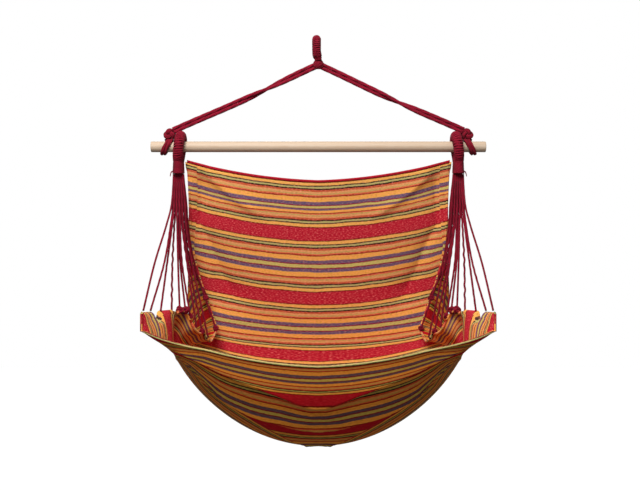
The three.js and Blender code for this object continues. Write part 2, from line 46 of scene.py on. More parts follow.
VIEW_WIDTH = 1.9136

camera_data = bpy.data.cameras.new("camera")
camera_data.sensor_fit = "HORIZONTAL"
camera_data.sensor_width = 36
camera_data.lens = camera_data.sensor_width * CAMERA_DISTANCE / VIEW_WIDTH
camera = bpy.data.objects.new("camera", camera_data)
camera.location = (CAMERA_SIDE, -CAMERA_DISTANCE, CAMERA_HEIGHT)
camera.rotation_euler = (math.pi / 2, 0, 0)
bpy.context.collection.objects.link(camera)
bpy.context.scene.camera = camera

# Suspension ropes: two soft cotton strands run from the neck to each end of the bar and turn lightly
# about each other. Each strand is laid from three yarn bundles, dyed crimson.
NECK_Z = -0.061
NECK_RADIUS = 0.0155
BAR_Z = -0.307
KNOT_X = 0.449
KNOT_Z = -0.26562
STRAND_RADIUS = 0.0055
STRAND_APART = 0.0052  # from the pair's middle line to the middle of each strand
STRAND_SAG = 0.004
STRAND_LAY = 0.034  # length in which the plies of a strand go round it once
STRAND_BEGIN = NECK_RADIUS * 0.7
STRAND_END = 0.017  # knot's middle to the strand's end, inside the knot
STRAND_STEPS = 120
CROSSING_PLACES = {-1: 0.36, 1: 0.53}  # where along the left and right pairs one strand passes over
CROSSING_HALF = 0.25  # half of the share of its length in which it does so
SEAT_GAP = 0.0004


def dye(red, green, blue):
    """A colour given as 0 to 255 on screen, as the light value a shader takes."""
    parts = []
    for level in (red, green, blue):
        share = level / 255
        parts.append(share / 12.92 if share <= 0.04045 else ((share + 0.055) / 1.055) ** 2.4)
    return (*parts, 1)


def node(tree, kind, inputs=None, **settings):
    """Adds a shader node; inputs are values, or the outputs that feed them."""
    made = tree.nodes.new(kind)
    for key, value in settings.items():
        setattr(made, key, value)
    for key, value in (inputs or {}).items():
        socket = made.inputs[key]
        if isinstance(value, bpy.types.NodeSocket):
            tree.links.new(value, socket)
        else:
            socket.default_value = value
    return made


def reckon(tree, operation, first, second=0.0, third=0.0):
    return node(tree, "ShaderNodeMath", {0: first, 1: second, 2: third}, operation=operation).outputs[0]


def noise(tree, vector, scale=1.0, detail=3.0):
    return node(tree, "ShaderNodeTexNoise", {"Vector": vector, "Scale": scale, "Detail": detail}).outputs[0]


def two_tones(tree, share, low, low_colour, high, high_colour):
    """A ramp from one colour to another between two places of the share."""
    ramp = node(tree, "ShaderNodeValToRGB", {0: share})
    for element, place, colour in zip(ramp.color_ramp.elements, (low, high), (low_colour, high_colour)):
        element.position = place
        element.color = colour
    return ramp.outputs[0]


def add_bump(tree, shader, strength, distance, height):
    bump = node(tree, "ShaderNodeBump", {"Strength": strength, "Distance": distance, "Height": height})
    tree.links.new(bump.outputs[0], shader.inputs["Normal"])


def start_finish(name, roughness):
    finish = bpy.data.materials.new(name)
    finish.use_nodes = True
    shader = finish.node_tree.nodes["Principled BSDF"]
    shader.inputs["Roughness"].default_value = roughness
    return finish, finish.node_tree, shader


def yarn_finish(name, light, deep, plies, lay):
    """Laid cotton cord: plies that run round it once in a lay, fine fibres along them, deep grooves with
    painted shade in them.
    """
    light, deep = dye(*light), dye(*deep)
    finish, tree, shader = start_finish(name, 0.92)
    uv = node(tree, "ShaderNodeUVMap", uv_map="lay")
    along, around, _ = node(tree, "ShaderNodeSeparateXYZ", {0: uv.outputs[0]}).outputs
    turned = reckon(tree, "MULTIPLY_ADD", around, plies, reckon(tree, "DIVIDE", along, lay))
    groove = reckon(tree, "MULTIPLY", reckon(tree, "PINGPONG", turned, 0.5), 2.0)
    groove_shade = reckon(tree, "POWER", reckon(tree, "SUBTRACT", 1.0, groove), 2.5)
    fibre_place = node(
        tree,
        "ShaderNodeCombineXYZ",
        {0: reckon(tree, "MULTIPLY", along, 220.0), 1: reckon(tree, "MULTIPLY", turned, 14.0), 2: 0.0},
    )
    fibres = noise(tree, fibre_place.outputs[0])
    patches = noise(tree, node(tree, "ShaderNodeTexCoord").outputs["Object"], 55.0)
    worn = reckon(tree, "MULTIPLY_ADD", patches, 0.9, -0.2)
    streak = reckon(tree, "MULTIPLY", reckon(tree, "MULTIPLY_ADD", fibres, 0.9, worn), 0.75)
    tones = two_tones(tree, streak, 0.18, deep, 0.72, light)
    # painted shade: the grooves between the plies are mixed towards the deep colour
    shaded = {0: reckon(tree, "MULTIPLY", groove_shade, 0.65), 6: tones, 7: deep}
    shaded = node(tree, "ShaderNodeMix", shaded, data_type="RGBA").outputs[2]
    tree.links.new(shaded, shader.inputs["Base Color"])
    add_bump(tree, shader, 0.6, 0.0012, reckon(tree, "MULTIPLY_ADD", fibres, 0.35, groove))
    shader.inputs["Specular IOR Level"].default_value = 0.15
    shader.inputs["Sheen Weight"].default_value = 0.04
    return finish


def place_mesh(name, maker, finish=None):
    """Turns what a mesh maker holds into an object at the origin, with one finish."""
    mesh = bpy.data.meshes.new(name)
    maker.to_mesh(mesh)
    maker.free()
    if finish:
        mesh.materials.append(finish)
    piece = bpy.data.objects.new(name, mesh)
    bpy.context.collection.objects.link(piece)
    return piece


def eased(low, high, value):
    """0 below low, 1 above high, and a smooth rise between them."""
    share = np.clip((value - low) / (high - low), 0, 1)
    return share * share * (3 - 2 * share)


def lay_rope(name, line, radius, plies, lay, finish, sides=18, cut=0.16, taper=None):
    """A rope along a line of points: its plies stand out as lobes that wind round it."""
    maker = bmesh.new()
    uv = maker.loops.layers.uv.new("lay")
    line = [Vector(p) for p in line]
    across = None
    along = 0.0
    rings = []
    for i, middle in enumerate(line):
        ahead = (line[min(i + 1, len(line) - 1)] - line[max(i - 1, 0)]).normalized()
        if across is None:
            guide = Vector((0, 1, 0)) if abs(ahead.y) < 0.8 else Vector((1, 0, 0))
            across = guide.cross(ahead).normalized()
        else:
            along += (middle - line[i - 1]).length
            across = (across - ahead * across.dot(ahead)).normalized()
        up = ahead.cross(across)
        size = radius * (taper(i / (len(line) - 1)) if taper else 1)
        ring = []
        for k in range(sides):
            share = k / sides
            phase = (share * plies + along / lay) % 1
            reach = size * (1 - cut * (abs(2 * phase - 1) ** 2))
            turn = 2 * math.pi * share
            point = middle + across * reach * math.cos(turn) + up * reach * math.sin(turn)
            ring.append(maker.verts.new(point))
        rings.append((ring, along))
    for (ring, start), (following, end) in zip(rings, rings[1:]):
        for k in range(sides):
            after = (k + 1) % sides
            face = maker.faces.new((ring[k], ring[after], following[after], following[k]))
            face.smooth = True
            corners = ((start, k), (start, k + 1), (end, k + 1), (end, k))
            for loop, (u, v) in zip(face.loops, corners):
                loop[uv].uv = (u, v / sides)
    maker.faces.new(list(reversed(rings[0][0])))
    maker.faces.new(rings[-1][0])
    return place_mesh(name, maker, finish)


def run_length(line):
    return sum((Vector(b) - Vector(a)).length for a, b in zip(line, line[1:]))


def strand_line(side, twin):
    start = Vector((0, 0, NECK_Z))
    way = Vector((side * KNOT_X, 0, KNOT_Z)) - start
    reach = way.length
    way.normalize()
    up = way.cross(Vector((0, 1, 0))).normalized()
    crossing = CROSSING_PLACES[side]
    line = []
    for i in range(STRAND_STEPS + 1):
        share = i / STRAND_STEPS
        turn = math.pi * (eased(crossing - CROSSING_HALF, crossing + CROSSING_HALF, share) + 0.5 + twin)
        point = start + way * (STRAND_BEGIN + (reach - STRAND_END - STRAND_BEGIN) * share)
        point += Vector((0, STRAND_APART * math.cos(turn), -STRAND_SAG * math.sin(math.pi * share) ** 2))
        line.append(point + up * STRAND_APART * math.sin(turn))
    return line


suspension_finish = yarn_finish("suspension_rope", (150, 16, 44), (92, 6, 24), plies=3, lay=STRAND_LAY)
for side, side_name in ((-1, "left"), (1, "right")):
    for twin in (0, 1):
        line = strand_line(side, twin)
        strand_name = f"strand_{side_name}_{twin + 1}"
        strand = lay_rope(strand_name, line, STRAND_RADIUS, 3, STRAND_LAY, suspension_finish)
        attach(strand, "yoke")
        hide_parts(f"suspension_rope_{side_name}_{twin + 1}")

# Fan cords: twelve crimson cotton cords to a side spread from the collar to the cloth's side edge. The
# front ones hang straight, the ones at the back are slack, cross each other and end in knots.
FAN_RADIUS = 0.003
FAN_LAY = 0.03
LOOP_X = 0.418
FAN_PITCH = 0.0056  # half the distance between the collar's two rows, and between its six columns
FAN_TOP_Z = -0.3884
FAN_STRAIGHT = 0.006
FAN_SPACING = 0.003  # between a cord's rings
FAN_HEIGHTS = (-0.481, -0.541, -0.651)
FAN_DEPTH_SHARES = (0.08, 0.28, 0.62)  # part of the end's depth that is reached at those heights
FAN_HIGH_KNOT = 0.8  # share of the last cord above the second knot in it
fan_ends = (
    # end on the right, distance from the middle at the heights above, waves in mm, knot's radius in mm
    ((0.4844, -0.2217, -0.7819), (0.4357, 0.4439, 0.4662), 0, 0),
    ((0.4697, -0.1908, -0.7844), (0.4328, 0.4341, 0.4426), 0.3, 0),
    ((0.4470, -0.1568, -0.7896), (0.4294, 0.4302, 0.4369), 0.3, 0),
    ((0.4230, -0.1061, -0.7890), (0.4261, 0.4269, 0.4270), 1.3, 0),
    ((0.4030, -0.0836, -0.7888), (0.4221, 0.4183, 0.4120), 0, 8.5),
    ((0.3897, -0.0595, -0.7912), (0.4182, 0.4148, 0.4084), 0, 8.5),
    ((0.3778, -0.0428, -0.8096), (0.4142, 0.4110, 0.4042), 0.5, 7),
    ((0.3613, -0.0243, -0.8464), (0.4103, 0.4072, 0.3915), 0.9, 0),
    ((0.3482, 0.0037, -0.8578), (0.4064, 0.4038, 0.3887), 1.3, 6.6),
    ((0.3380, 0.0886, -0.7682), (0.4031, 0.4025, 0.3903), 1.1, 0),
    ((0.3330, 0.0292, -0.8784), (0.3986, 0.3961, 0.3805), 1.3, 0),
    ((0.3148, 0.0786, -0.8560), (0.3955, 0.3937, 0.3786), 1.0, 6.6),
)


def smooth_route(points, spacing):
    """Points along one smooth curve through the given ones, about spacing apart."""
    points = [Vector(p) for p in points]
    first = points[0] * 2 - points[1]
    last = points[-1] * 2 - points[-2]
    guide = [first, *points, last]
    line = []
    for before, a, b, after in zip(guide, guide[1:], guide[2:], guide[3:]):
        lead, span, trail = ((q - p).length ** 0.5 for p, q in ((before, a), (a, b), (b, after)))
        leave = ((a - before) / lead - (b - before) / (lead + span) + (b - a) / span) * span
        arrive = ((b - a) / span - (after - a) / (span + trail) + (after - b) / trail) * span
        steps = max(2, round((b - a).length / spacing))
        for i in range(steps):
            t = i / steps
            bend = (b - a) * 3 - leave * 2 - arrive
            turn = (a - b) * 2 + leave + arrive
            line.append(a + leave * t + bend * t * t + turn * t * t * t)
    line.append(points[-1])
    return line


def trefoil_line(radius, steps, slimness, depth):
    """An overhand knot's line about the origin."""
    line = []
    for i in range(steps + 1):
        turn = 2 * math.pi * i / steps
        reach = radius * (2 + math.cos(3 * turn)) / slimness
        y = radius * depth * math.sin(3 * turn)
        line.append((reach * math.cos(2 * turn), y, reach * math.sin(2 * turn)))
    return line


def tie_knot(name, place, radius, tilt):
    """An overhand knot in a fan cord, drawn tight about the place."""
    line = []
    for x, y, z in trefoil_line(radius, 72, 3, 0.5):
        turned = (x * math.cos(tilt) - z * math.sin(tilt), y, x * math.sin(tilt) + z * math.cos(tilt))
        line.append(Vector(place) + Vector(turned))
    return lay_rope(name, line, radius / 2, 2, 0.02, fan_finish, sides=10, cut=0.1)


def fan_line(side, i):
    """The route of a fan cord from its place under the collar to the cloth's edge. Its waves of slack start
    a quarter down, end short of its knot, and differ in length from cord to cord."""
    (x, y, z), places, waves, _ = fan_ends[i]
    column = i // 2 - 2.5
    row = (i % 2 - 0.5) * 2
    start = Vector((side * (LOOP_X - column * FAN_PITCH), row * FAN_PITCH, FAN_TOP_Z))
    route = [start, start - Vector((0, 0, FAN_STRAIGHT))]
    for place, height, share in zip(places, FAN_HEIGHTS, FAN_DEPTH_SHARES):
        route.append(Vector((side * place, row * FAN_PITCH * (1 - share) + y * share, height)))
    line = smooth_route((*route, Vector((side * x, y, z))), FAN_SPACING)
    for k, point in enumerate(line):
        loose = min(1, max(0, 4 * k / len(line) - 1)) * min(1, 8 - 8 * k / len(line))
        turn = 2 * math.pi * k / (8 + i * 0.7 % 3) + i
        uneven = 0.65 + 0.35 * math.sin(0.17 * k + 2 * i)
        point += Vector((math.sin(turn), 0.6 * math.cos(turn), 0)) * loose * uneven * waves / 1000
    return line


fan_finish = yarn_finish("fan_cord", (140, 14, 40), (84, 4, 20), plies=2, lay=FAN_LAY)
for side, side_name in ((-1, "left"), (1, "right")):
    for i, ((x, y, z), _, _, knot_size) in enumerate(fan_ends):
        number = i + 1
        line = fan_line(side, i)
        cord_name = f"cord_{side_name}_{number}"
        cord = lay_rope(cord_name, line, FAN_RADIUS, 2, FAN_LAY, fan_finish, sides=12, cut=0.08)
        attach(cord, "sling")
        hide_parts(f"fan_cord_{side_name}_{number}")
        ties = [("end", (side * x, y, z))] if knot_size else []
        if number == len(fan_ends):
            ties.append(("high", line[round(len(line) * FAN_HIGH_KNOT)]))
        for where, point in ties:
            knot = tie_knot(f"cord_{where}_knot_{side_name}_{number}", point, knot_size / 1000, tilt=i)
            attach(knot, "sling")

# Top eye: a loop of thick rope that goes on the ceiling hook, wound closely with thin crimson cord
# where it bears on the hook. Its two legs end side by side on the neck.
EYE_ROPE_RADIUS = 0.008
EYE_CORE_RADIUS = 0.011  # drawn thick enough to close the gaps between the serving's turns
EYE_LOOP_RADIUS = 0.026
EYE_LEAN = 0.0055  # to the left, over the first 30 mm of its height
EYE_LEAN_RISE = 0.03
EYE_SERVED = (0.1, 0.9)  # shares of the loop's length between which it is served
EYE_TURNS = 31
SERVING_RADIUS = 0.0023
SERVING_LAY = 0.012
TURN_GAP = 0.0009
THICK_LAY = 0.04
CORE_SPACING = 0.002
eye_reach = EYE_ROPE_RADIUS + TURN_GAP + 2 * SERVING_RADIUS
eye_centre = eye_reach - EYE_LOOP_RADIUS
eye_leg = EYE_ROPE_RADIUS + SEAT_GAP
eye_foot = NECK_Z + NECK_RADIUS * 0.6
eye_shares = ((0.6, -0.86), (0.88, -0.45), (1, 0), (0.87, 0.5), (0.5, 0.87))
eye_half = [(0, eye_leg, eye_foot), (0, eye_leg, eye_foot + 0.003)]
eye_half += [(0, y * EYE_LOOP_RADIUS, eye_centre + z * EYE_LOOP_RADIUS) for y, z in eye_shares]
eye_route = eye_half + [(0, 0, eye_reach)] + [(x, -y, z) for x, y, z in reversed(eye_half)]
eye_line = smooth_route(eye_route, CORE_SPACING)
for point in eye_line:
    point.x -= EYE_LEAN * eased(eye_foot, eye_foot + EYE_LEAN_RISE, point.z)
burgundy_finish = yarn_finish("burgundy_rope", (142, 16, 40), (92, 6, 22), plies=3, lay=THICK_LAY)
eye_rope = lay_rope("eye_rope", eye_line, EYE_CORE_RADIUS, 3, THICK_LAY, burgundy_finish, sides=24)
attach(eye_rope, "hook_eye")
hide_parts("top_eye_rope")


def wind_line(core, start_share, end_share, turns, reach, steps=20):
    """The line of a thin cord wound round a rope, from one share of its length to another."""
    core = [Vector(p) for p in core]
    lengths = [0.0]
    for a, b in zip(core, core[1:]):
        lengths.append(lengths[-1] + (b - a).length)
    line = []
    count = round(turns * steps)
    at = 0
    for i in range(count + 1):
        share = i / count
        along = lengths[-1] * (start_share + (end_share - start_share) * share)
        while at < len(core) - 2 and lengths[at + 1] < along:
            at += 1
        part = (along - lengths[at]) / (lengths[at + 1] - lengths[at])
        middle = core[at].lerp(core[at + 1], part)
        before = core[max(at - 1, 0)]
        after = core[min(at + 2, len(core) - 1)]
        side_way = (after - before).normalized().cross(Vector((1, 0, 0))).normalized()
        turn = 2 * math.pi * turns * share
        line.append(middle + Vector((1, 0, 0)) * reach * math.cos(turn) + side_way * reach * math.sin(turn))
    return line


serving_finish = yarn_finish("serving_cord", (146, 18, 44), (98, 8, 26), plies=2, lay=SERVING_LAY)
eye_wind = wind_line(eye_line, *EYE_SERVED, EYE_TURNS, EYE_ROPE_RADIUS + TURN_GAP + SERVING_RADIUS)
eye_serving = lay_rope(
    "eye_serving", eye_wind, SERVING_RADIUS, 2, SERVING_LAY, serving_finish, sides=8, cut=0.14
)
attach(eye_serving, "hook_eye")
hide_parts("top_eye_serving")

# Neck: under the eye the ropes run together in a round bundle, bound by a whipping of the same cord.
# The ropes bend and turn about its middle.
WHIPPING_TURNS = 8
WHIPPING_CORD = 0.0022
WHIPPING_RADIUS = NECK_RADIUS + 0.0012
WHIPPING_FROM = math.radians(35)  # from the neck's top, as an angle about its middle
WHIPPING_SPAN = math.radians(110)
WINDING_STEPS = 24
whipping_line = []
whipping_reach = WHIPPING_RADIUS - WHIPPING_CORD
for i in range(WHIPPING_TURNS * WINDING_STEPS + 1):
    share = i / (WHIPPING_TURNS * WINDING_STEPS)
    polar = WHIPPING_FROM + share * WHIPPING_SPAN
    turn = 2 * math.pi * WHIPPING_TURNS * share
    reach = whipping_reach * math.sin(polar)
    z = NECK_Z + whipping_reach * math.cos(polar)
    whipping_line.append((reach * math.cos(turn), reach * math.sin(turn), z))
whipping = lay_rope(
    "whipping", whipping_line, WHIPPING_CORD, 2, SERVING_LAY, serving_finish, sides=10, cut=0.12
)
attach(whipping, "neck_binding")
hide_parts("neck_whipping")


def plain_finish(name, light, deep):
    """Cotton seen across its plies: soft patches of colour and a fine nap, on object coordinates."""
    finish, tree, shader = start_finish(name, 0.92)
    place = node(tree, "ShaderNodeTexCoord").outputs["Object"]
    tones = two_tones(tree, noise(tree, place, 240.0, 4.0), 0.3, dye(*deep), 0.65, dye(*light))
    tree.links.new(tones, shader.inputs["Base Color"])
    add_bump(tree, shader, 0.5, 0.0006, noise(tree, place, 900.0))
    shader.inputs["Specular IOR Level"].default_value = 0.15
    return finish


bundle_finish = plain_finish("rope_bundle", (150, 16, 46), (84, 4, 24))
bundle = bpy.data.objects["neck_rope_bundle"]
bundle.data.materials.clear()
bundle.data.materials.append(bundle_finish)

# Spreader bar: a bare pine dowel, one metre long and 32 mm thick, with small chamfers at its ends. The
# grain runs along it, and its ends show the rings.
BAR_HALF = 0.5
BAR_RADIUS = 0.016
BAR_CHAMFER = 0.002


def stretch(tree, vector, scale):
    return node(tree, "ShaderNodeMapping", {0: vector, "Scale": scale}).outputs[0]


pine_finish, tree, shader = start_finish("pine", 0.58)
place = node(tree, "ShaderNodeTexCoord").outputs["Object"]
stretched = stretch(tree, place, (1.6, 60.0, 60.0))
ring_space = {0: place, "Location": (0, 0.03, 0.31), "Scale": (0.35, 1, 1)}
ring_place = node(tree, "ShaderNodeMapping", ring_space).outputs[0]
rings = node(
    tree,
    "ShaderNodeTexWave",
    {"Vector": ring_place, "Scale": 60.0, "Distortion": 3.0, "Detail": 3.0, "Detail Scale": 1.2},
    wave_type="RINGS",
    rings_direction="X",
)
wander = reckon(tree, "MULTIPLY", noise(tree, stretched, detail=4.0), 0.7)
grain = reckon(tree, "MULTIPLY_ADD", rings.outputs[1], 0.45, wander)
tones = two_tones(tree, grain, 0.1, dye(196, 176, 154), 0.95, dye(184, 156, 128))
tree.links.new(tones, shader.inputs["Base Color"])
add_bump(tree, shader, 0.25, 0.0004, noise(tree, stretched, 6.0))

dowel = bmesh.new()
bmesh.ops.create_circle(dowel, cap_ends=True, radius=BAR_RADIUS, segments=64)
bmesh.ops.rotate(dowel, verts=dowel.verts, matrix=Matrix.Rotation(math.pi / 2, 3, "Y"))
bmesh.ops.translate(dowel, verts=dowel.verts, vec=(-BAR_HALF, 0, BAR_Z))
swept = bmesh.ops.extrude_face_region(dowel, geom=dowel.faces[:])
far_end = [item for item in swept["geom"] if isinstance(item, bmesh.types.BMVert)]
bmesh.ops.translate(dowel, verts=far_end, vec=(2 * BAR_HALF, 0, 0))
bmesh.ops.recalc_face_normals(dowel, faces=dowel.faces)
rims = [edge for edge in dowel.edges if abs(edge.verts[0].co.x - edge.verts[1].co.x) < BAR_CHAMFER]
bmesh.ops.bevel(
    dowel,
    geom=rims,
    offset=BAR_CHAMFER,
    offset_type="OFFSET",
    segments=3,
    profile=0.5,
    affect="EDGES",
    material=-1,
)
for face in dowel.faces:
    face.smooth = len(face.verts) == 4
bar = place_mesh("bar", dowel, pine_finish)
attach(bar, "yoke")
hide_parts("spreader_bar")

# Hitches and knots: outside each side loop the two strands go twice round the bar and are tied off in a
# fist of a knot on its top. The hitches lean outwards.
HITCH_X = 0.4545
HITCH_ROPE_RADIUS = 0.0054
HITCH_REACH = BAR_RADIUS + 0.0045
HITCH_PITCH = 0.0092
HITCH_LEAN = 0.009
HITCH_TURNS = 2
HITCH_STEPS = 36  # to a turn
HITCH_LAY = 0.03
KNOT_RADIUS = 0.0115
KNOT_ROPE_RADIUS = 0.0066
KNOT_SHIFT = 0.005  # inwards and down from where the strands end

hitch_finish = yarn_finish("hitch_rope", (138, 14, 38), (84, 4, 20), plies=3, lay=HITCH_LAY)
for side, side_name in ((-1, "left"), (1, "right")):
    line = []
    for i in range(HITCH_TURNS * HITCH_STEPS + 1):
        turn = 2 * math.pi * i / HITCH_STEPS
        x = HITCH_X + HITCH_PITCH * (i / HITCH_STEPS - HITCH_TURNS / 2) - HITCH_LEAN * math.cos(turn)
        line.append((side * x, -HITCH_REACH * math.sin(turn), BAR_Z + HITCH_REACH * math.cos(turn)))
    hitch_name = f"bar_turns_{side_name}"
    hitch = lay_rope(hitch_name, line, HITCH_ROPE_RADIUS, 3, HITCH_LAY, hitch_finish, sides=16)
    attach(hitch, "yoke")
    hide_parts(f"hitch_{side_name}")

    line = [
        (side * (KNOT_X - KNOT_SHIFT + x), y, KNOT_Z - KNOT_SHIFT + z)
        for x, y, z in trefoil_line(KNOT_RADIUS, 96, 2.6, 0.9)
    ]
    knot = lay_rope(f"knot_{side_name}", line, KNOT_ROPE_RADIUS, 3, HITCH_LAY, hitch_finish, sides=16)
    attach(knot, "yoke")
    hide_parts(f"hitch_knot_{side_name}")

# Side loops: a thick rope loop hangs over the bar at each side, closely served with cord as far as the
# collar. It leans a little towards the middle, pulled by the suspension ropes that pass over it.
LOOP_ROPE_RADIUS = 0.0102
LOOP_CORE_RADIUS = 0.0142  # drawn thick enough to close the gaps between the serving's turns
LOOP_BEND = 0.0321
LOOP_LEAN = 0.007
LOOP_LEAN_RISE = 0.075  # height above the collar in which it leans over
COLLAR_TOP_Z = -0.35
COLLAR_BOTTOM_Z = -0.388
RIB_RADIUS = 0.0029
RIB_REACH = 0.0131  # loop rope's middle to a rib's middle
RIB_PITCH = 0.0057
RIB_LAY = 0.02

loop_finish = yarn_finish("loop_serving", (142, 16, 42), (98, 6, 24), plies=2, lay=RIB_LAY)
for side, side_name in ((-1, "left"), (1, "right")):
    leg = LOOP_ROPE_RADIUS + SEAT_GAP
    half = [
        (leg, COLLAR_BOTTOM_Z),
        (leg, (COLLAR_BOTTOM_Z + COLLAR_TOP_Z) / 2),
        (leg, COLLAR_TOP_Z),
        (leg + (LOOP_BEND - leg) * 0.72, (COLLAR_TOP_Z + BAR_Z) / 2),
    ]
    for turn in (math.radians(degrees) for degrees in (0, 22.5, 45, 67.5)):
        half.append((LOOP_BEND * math.cos(turn), BAR_Z + LOOP_BEND * math.sin(turn)))
    route = []
    for y, z in half + [(0, BAR_Z + LOOP_BEND)] + [(-y, z) for y, z in reversed(half)]:
        lean = LOOP_LEAN * eased(COLLAR_TOP_Z, COLLAR_TOP_Z + LOOP_LEAN_RISE, z)
        route.append((side * (LOOP_X - lean), y, z))
    loop_line = smooth_route(route, CORE_SPACING)
    core_name = f"loop_core_{side_name}"
    loop = lay_rope(core_name, loop_line, LOOP_CORE_RADIUS, 3, THICK_LAY, burgundy_finish, sides=24)
    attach(loop, "sling")
    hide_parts(f"side_loop_{side_name}")
    loop_length = run_length(loop_line)
    bare = (COLLAR_TOP_Z - COLLAR_BOTTOM_Z) / loop_length
    turns = round(loop_length * (1 - 2 * bare) / RIB_PITCH)
    ribs_line = wind_line(loop_line, bare, 1 - bare, turns, RIB_REACH, steps=WINDING_STEPS)
    ribs_name = f"loop_ribs_{side_name}"
    ribs = lay_rope(ribs_name, ribs_line, RIB_RADIUS, 2, RIB_LAY, loop_finish, sides=8, cut=0.1)
    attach(ribs, "sling")
    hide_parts(f"side_loop_serving_{side_name}")

# Collars: just under the bar, cord wound close and flat binds the loop's two legs to the tops of the fan
# cords. The winding's end hangs out at the outer side as a short frayed tail.
COLLAR_HALF_WIDTH = 0.0175
COLLAR_HALF_DEPTH = 0.029
COLLAR_TAPER = 0.94  # of its width at the top
COLLAR_SWELL = 0.1  # and how much wider it is at the bottom
COLLAR_CORD = 0.0019
COLLAR_TURNS = 11
COLLAR_STEPS = 40  # to a turn
TAIL_RADIUS = 0.0023
TAIL_TAPER = 0.45  # of its radius, lost at the end
TAIL_START_Z = -0.3804
TAIL_DROP = 0.015
TAIL_FORWARD = 0.004
TAIL_ROOT = 0.0179  # outwards from the loop's middle
TAIL_BOW = 0.0104
TAIL_SPREAD = 0.0065
TAIL_STEPS = 12

for side, side_name in ((-1, "left"), (1, "right")):
    line = []
    for i in range(COLLAR_TURNS * COLLAR_STEPS + 1):
        share = i / (COLLAR_TURNS * COLLAR_STEPS)
        turn = 2 * math.pi * COLLAR_TURNS * share
        x = (COLLAR_HALF_WIDTH - COLLAR_CORD) * (COLLAR_TAPER + COLLAR_SWELL * share) * math.cos(turn)
        y = (COLLAR_HALF_DEPTH - COLLAR_CORD) * math.sin(turn)
        z = COLLAR_TOP_Z - COLLAR_CORD + (COLLAR_BOTTOM_Z - COLLAR_TOP_Z + 2 * COLLAR_CORD) * share
        line.append((side * (LOOP_X + x), y, z))
    collar_name = f"collar_winding_{side_name}"
    collar = lay_rope(collar_name, line, COLLAR_CORD, 2, SERVING_LAY, serving_finish, sides=8, cut=0.1)
    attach(collar, "sling")
    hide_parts(f"collar_{side_name}")

    line = []
    for i in range(TAIL_STEPS + 1):
        share = i / TAIL_STEPS
        out = TAIL_ROOT + TAIL_BOW * share * (1 - share) + TAIL_SPREAD * share * share
        z = TAIL_START_Z - TAIL_DROP * share * share
        line.append((side * (LOOP_X + out), -TAIL_FORWARD * share, z))
    tail = lay_rope(
        f"tail_{side_name}",
        line,
        TAIL_RADIUS,
        3,
        SERVING_LAY,
        serving_finish,
        sides=10,
        cut=0.3,
        taper=lambda share: 1 - TAIL_TAPER * share,
    )
    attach(tail, "sling")
    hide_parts(f"whipping_tail_{side_name}")

# Seat cloth: back and seat are one striped cotton sheet, about 1.05 m wide and 1.27 m from top hem to
# front lip. It hangs from its side edges, so it sags between them, gathers at the cords and folds in
# three broad tucks under the seat. Across it goes from -1 to 1, and down it from 0 to 1 at the lip.
CLOTH_TOP_Z = -0.353
CLOTH_TOP_HALF = 0.3929
CLOTH_FLARE = 0.094
CLOTH_DEPTH = 0.425
CLOTH_HEIGHT = 0.847
CLOTH_THICKNESS = 0.0022
TURN_IN = 0.26  # share of the half width that turns in beyond a full belly
FULL_BELLY = 80  # mm
SAG_CURVE = 1.45  # the higher, the flatter the seat's middle
SAG_LINEAR = 0.2  # part of a straight slope where the sheet is not round
sheet_stations = np.array((
    # centre back and down, edge out, back and down, roundness; belly beyond the edge in mm
    (0.019, 0.071, 0, 0.014, 0, 0, 0, 0, 0),
    (0.087, 0.185, -0.01, 0.071, 0.117, 0.05, 1, 0, 0),
    (0.158, 0.303, -0.02, 0.122, 0.234, 0.1, 5, 4, 0),
    (0.228, 0.421, -0.14, 0.174, 0.351, 0.15, 17, 12, 0),
    (0.296, 0.54, -0.42, 0.212, 0.466, 0.25, 50, 22, -2),
    (0.36, 0.652, -0.74, 0.234, 0.572, 0.4, 78, 20, -14),
    (0.384, 0.746, -0.82, 0.2, 0.601, 0.6, 84, 16, -36),
    (0.36, 0.837, -0.74, 0.13, 0.622, 0.75, 84, 12, -50),
    (0.282, 0.917, -0.58, 0.056, 0.626, 0.85, 80, 8, -62),
    (0.171, 0.977, -0.38, -0.022, 0.6, 0.92, 70, 5, -72),
    (-0.003, 1, -0.11, -0.111, 0.549, 0.95, 47, 5, -87),
    (-0.186, 0.958, 0.18, -0.217, 0.52, 0.92, 14, 5, -100),
    (-0.358, 0.885, 0.49, -0.332, 0.516, 0.75, -20, 5, -98),
    (-0.504, 0.797, 0.76, -0.442, 0.516, 0.45, -20, 2, -77),
    (-0.616, 0.687, 1, -0.543, 0.516, 0.15, 0, 0, -34),
))


def between(first, second, share):
    return first + (second - first) * share


def stations_at(down):
    """Smooth values of the stations' nine columns at shares down the sheet."""
    before = 2 * sheet_stations[0] - sheet_stations[1]
    beyond = 2 * sheet_stations[-1] - sheet_stations[-2]
    known = np.vstack((before, sheet_stations, beyond))
    last = len(sheet_stations) - 1
    place = np.clip(down, 0, 1) * last
    at = np.minimum(place.astype(int), last - 1)
    t = (place - at)[..., None]
    p0, p1, p2, p3 = (known[at + i] for i in range(4))
    bend = 2 * p0 - 5 * p1 + 4 * p2 - p3
    turn = 3 * p1 - p0 - 3 * p2 + p3
    return np.moveaxis(0.5 * (2 * p1 + (p2 - p0) * t + bend * t**2 + turn * t**3), -1, 0)


